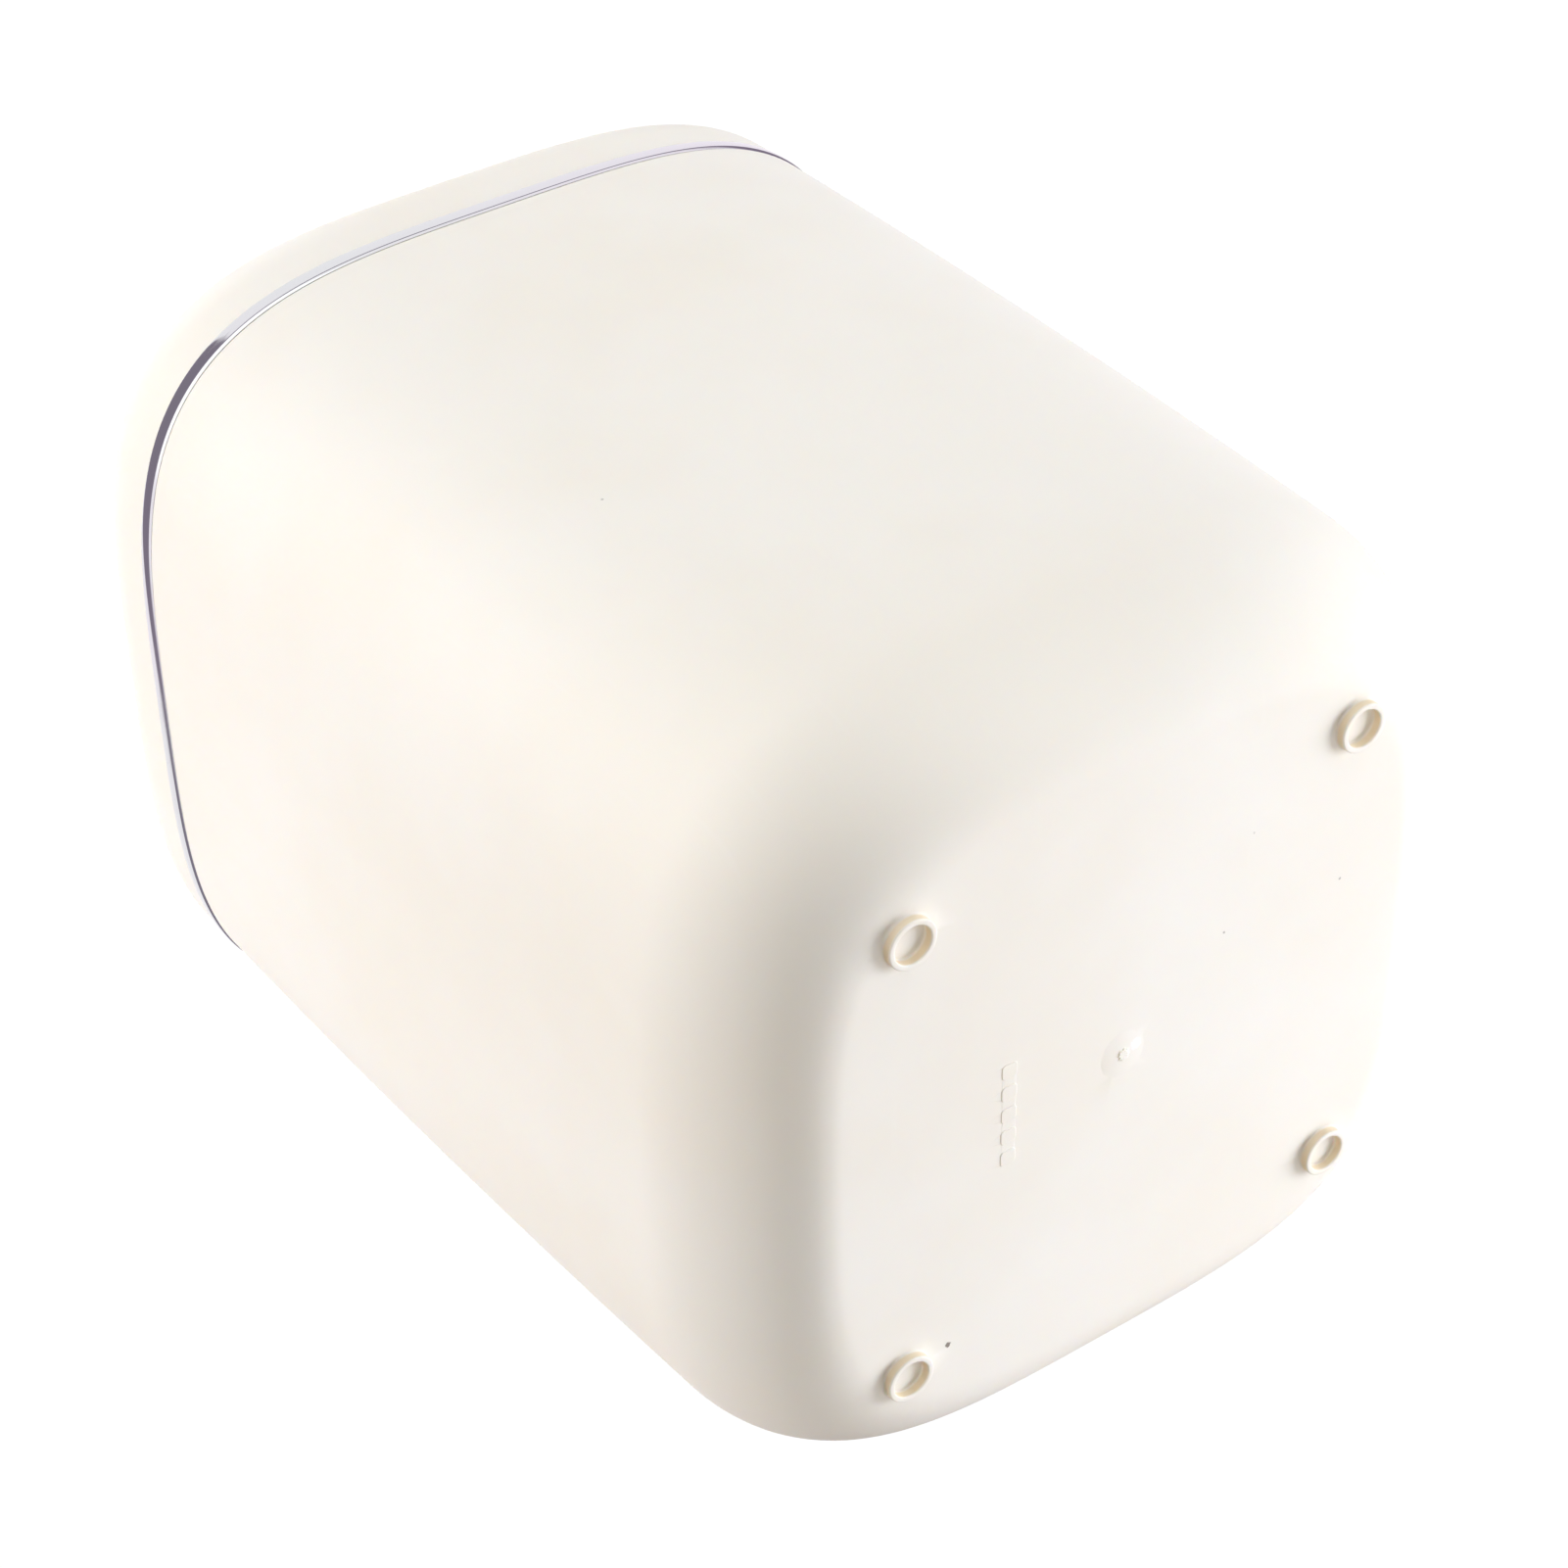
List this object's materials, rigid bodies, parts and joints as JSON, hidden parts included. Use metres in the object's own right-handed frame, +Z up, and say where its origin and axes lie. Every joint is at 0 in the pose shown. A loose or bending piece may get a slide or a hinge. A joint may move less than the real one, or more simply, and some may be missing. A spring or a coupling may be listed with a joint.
{
  "type": "waste bin",
  "caption": "Push-to-open waste bin: tapered square-round tub on ring feet, plated band, and a lift-off collar with a sprung lid, push button and latch.",
  "frame": {"origin": "centre of the bin on the plane its ring feet stand on", "axes": "+Z up; -Y is the front with the push button; +Y is the hinge side; +X is to the right seen from the front"},
  "size_m": [0.2092, 0.2092, 0.274],
  "materials": {
    "ivory_plastic": "fine matte moulded, warm ivory",
    "inner_plastic": "matte moulded, white",
    "plated_trim": "bright silver plating",
    "spring_steel": "drawn wire and zinc-plated steel",
    "pad_rubber": "soft grey"
  },
  "bodies": {
    "tub": {"tub": "ivory_plastic"},
    "top": {"trim_band": "plated_trim", "collar": "ivory_plastic", "lid_bumpers": "pad_rubber", "hinge_rod": "spring_steel", "rod_clips": "spring_steel", "lid_spring_left": "spring_steel", "lid_spring_right": "spring_steel", "hinge_cover": "inner_plastic", "hinge_cover_screws": "spring_steel", "latch_pin": "spring_steel", "latch_spring": "spring_steel", "latch_housing": "inner_plastic", "latch_screws": "spring_steel"},
    "lid": {"lid_panel": "ivory_plastic", "lid_liner": "inner_plastic", "lid_screws": "spring_steel"},
    "button": {"push_button": "ivory_plastic"},
    "latch": {"latch_hook": "inner_plastic"}
  },
  "joints": [
    {"name": "collar_lift", "type": "slide", "parent": "tub", "child": "top", "axis": [0, 0, 1], "range_m": [0, 0.05]},
    {"name": "lid_hinge", "type": "hinge", "parent": "top", "child": "lid", "pos_m": [0, 0.073, 0.266], "axis": [-1, 0, 0], "range_deg": [0, 80], "deforming": ["lid_spring_left", "lid_spring_right"]},
    {"name": "button_press", "type": "slide", "parent": "top", "child": "button", "axis": [0, 0, -1], "range_m": [0, 0.003], "stiffness_N_per_m": 300, "springref_m": -0.004, "deforming": ["latch_spring"]},
    {"name": "latch_turn", "type": "hinge", "parent": "top", "child": "latch", "pos_m": [0, -0.062, 0.249], "axis": [1, 0, 0], "range_deg": [0, 12.6]}
  ],
  "couplings": [
    {"joint": "latch_turn", "follows": "button_press", "rad_per_m": 71.4}
  ]
}
